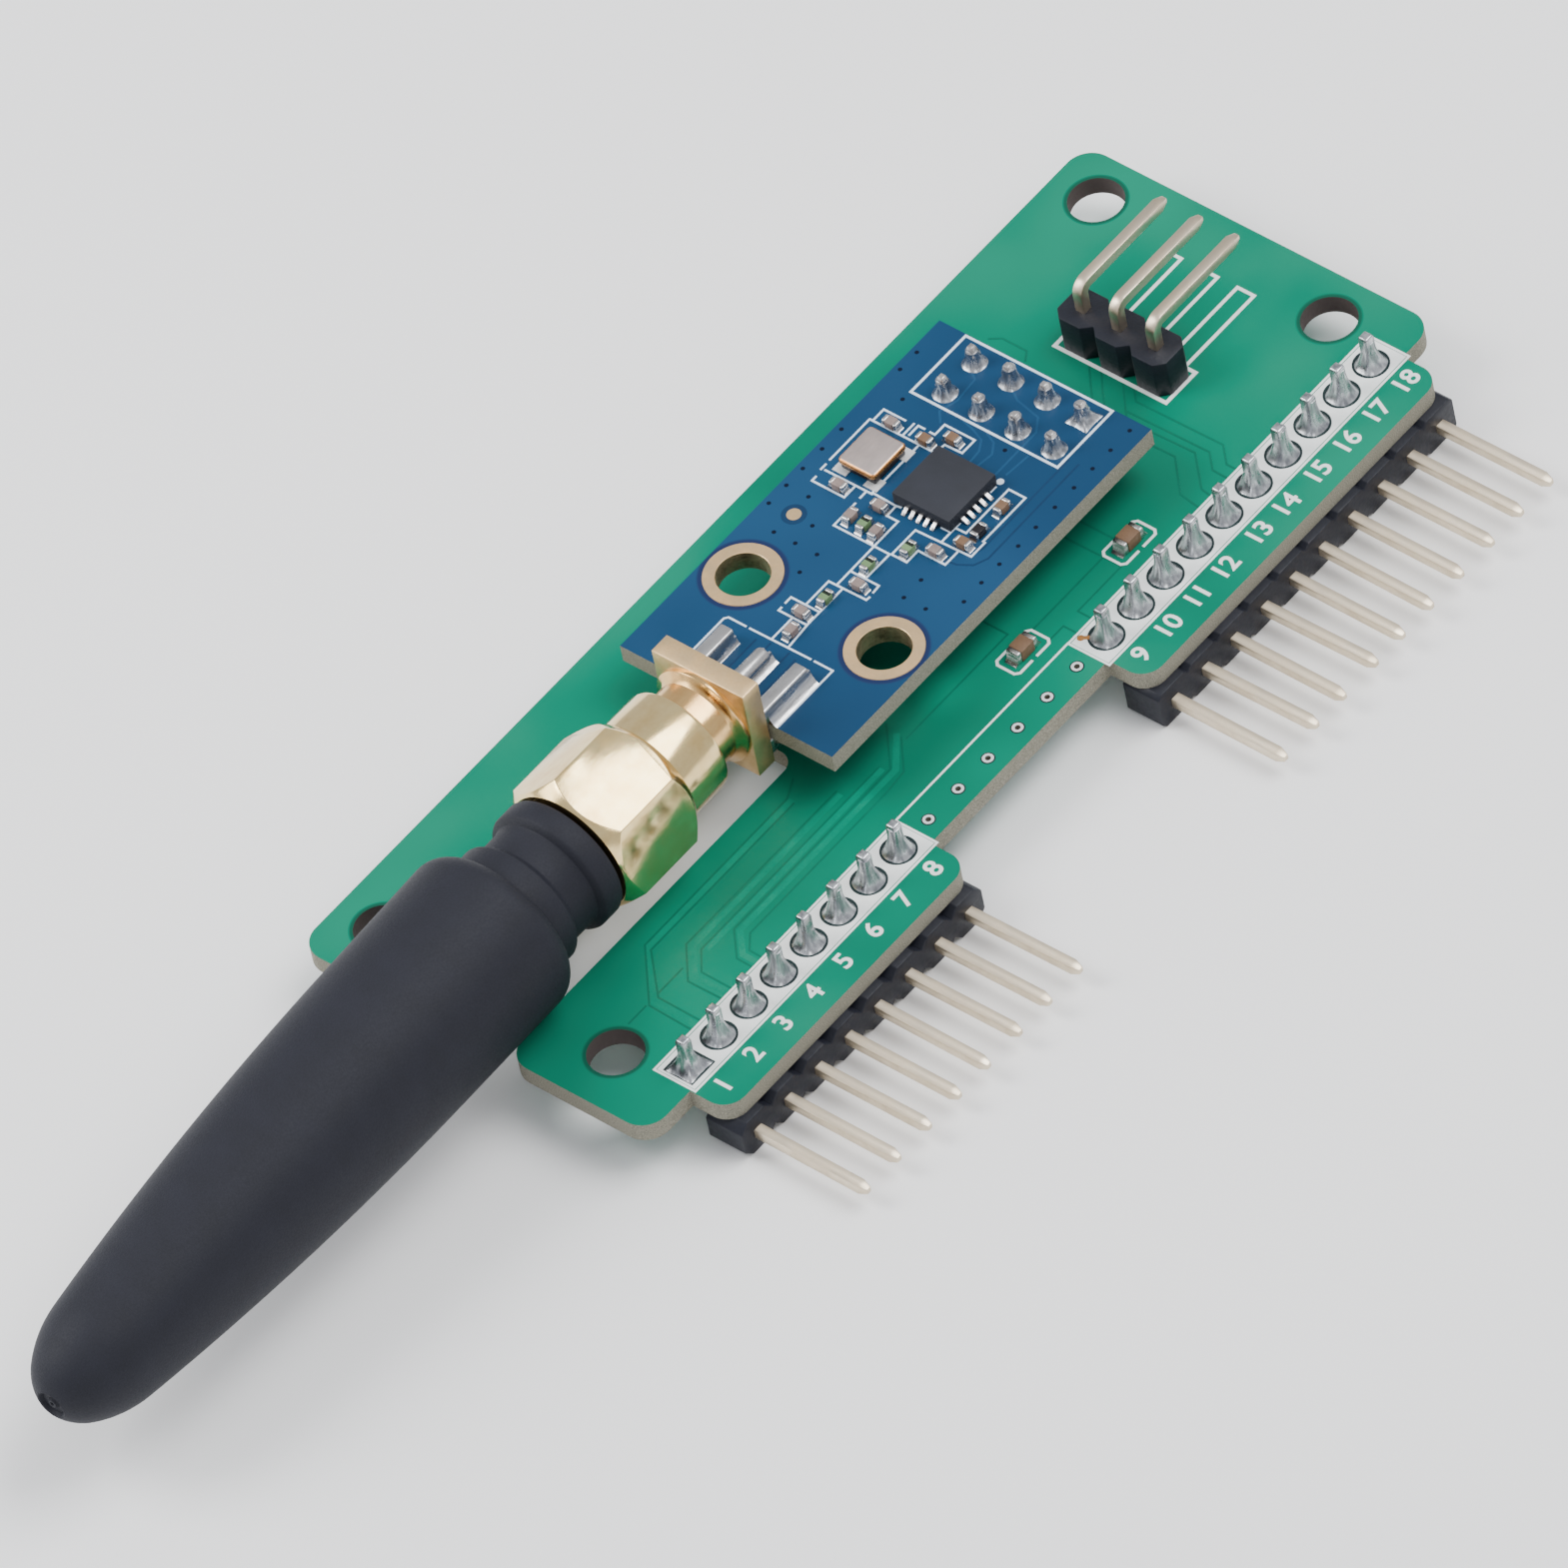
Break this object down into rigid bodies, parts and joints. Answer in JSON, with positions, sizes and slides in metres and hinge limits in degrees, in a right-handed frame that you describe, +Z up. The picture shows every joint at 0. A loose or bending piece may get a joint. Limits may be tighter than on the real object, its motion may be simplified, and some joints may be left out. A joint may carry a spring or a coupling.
{
  "type": "rf transceiver module",
  "caption": "Radio transceiver board on a green breakout carrier with two right-angle pin rows, a serial header and a stub antenna on an edge socket.",
  "frame": {"origin": "centre of the four mounting holes, on the carrier board's underside", "axes": "+Z up, away from the carrier's underside; +Y along the board, away from the antenna; +X towards the two right-angle pin rows"},
  "size_m": [0.0354, 0.1006, 0.0131],
  "materials": {
    "green_board": "glossy green solder mask over glass-epoxy, pale sawn edges",
    "blue_board": "glossy blue solder mask over glass-epoxy, pale sawn edges",
    "black_header": "black moulded header plastic, slightly glossy",
    "pin_metal": "warm nickel-plated pins",
    "solder": "bright tin solder",
    "ceramic_capacitor": "tan-brown fired ceramic",
    "green_ceramic": "green inductor body",
    "black_ceramic": "black resistor glaze",
    "tinned_ends": "tinned end caps",
    "chip_mould": "dark grey moulding compound",
    "crystal_ceramic": "brown ceramic base",
    "crystal_metal": "warm grey metal lid",
    "gold_plating": "flat gold plating of the module's holes",
    "jack_gold": "satin gold-plated brass",
    "nut_gold": "bright gold-plated brass",
    "white_insulator": "white fluoropolymer",
    "gasket_rubber": "soft gasket rubber",
    "coil_metal": "spring wire",
    "sleeve_rubber": "matte black rubber"
  },
  "bodies": {
    "root": {"carrier_board": "green_board", "header_1_8_body": "black_header", "header_1_8_pins": "pin_metal", "header_1_8_solder": "solder", "header_9_18_body": "black_header", "header_9_18_pins": "pin_metal", "header_9_18_solder": "solder", "serial_header_body": "black_header", "serial_header_pins": "pin_metal", "serial_header_solder": "solder", "carrier_capacitors": "ceramic_capacitor", "carrier_capacitor_ends": "tinned_ends", "module_board": "blue_board", "module_hole_plating": "gold_plating", "module_header_body": "black_header", "module_header_pins": "pin_metal", "module_header_solder": "solder", "carrier_header_solder": "solder", "transceiver_chip": "chip_mould", "chip_leads": "solder", "crystal_base": "crystal_ceramic", "crystal_lid": "crystal_metal", "crystal_pads": "solder", "small_capacitors": "ceramic_capacitor", "small_inductors": "green_ceramic", "small_resistor": "black_ceramic", "small_part_ends": "tinned_ends", "jack_body": "jack_gold", "jack_insulator": "white_insulator", "jack_contact": "jack_gold", "jack_solder": "solder", "coupling_nut": "nut_gold", "nut_gasket": "gasket_rubber", "nut_snap_ring": "coil_metal", "plug_body": "nut_gold", "plug_insulator": "white_insulator", "plug_contact": "coil_metal", "antenna_coil": "coil_metal", "antenna_sleeve": "sleeve_rubber"}
  },
  "joints": []
}
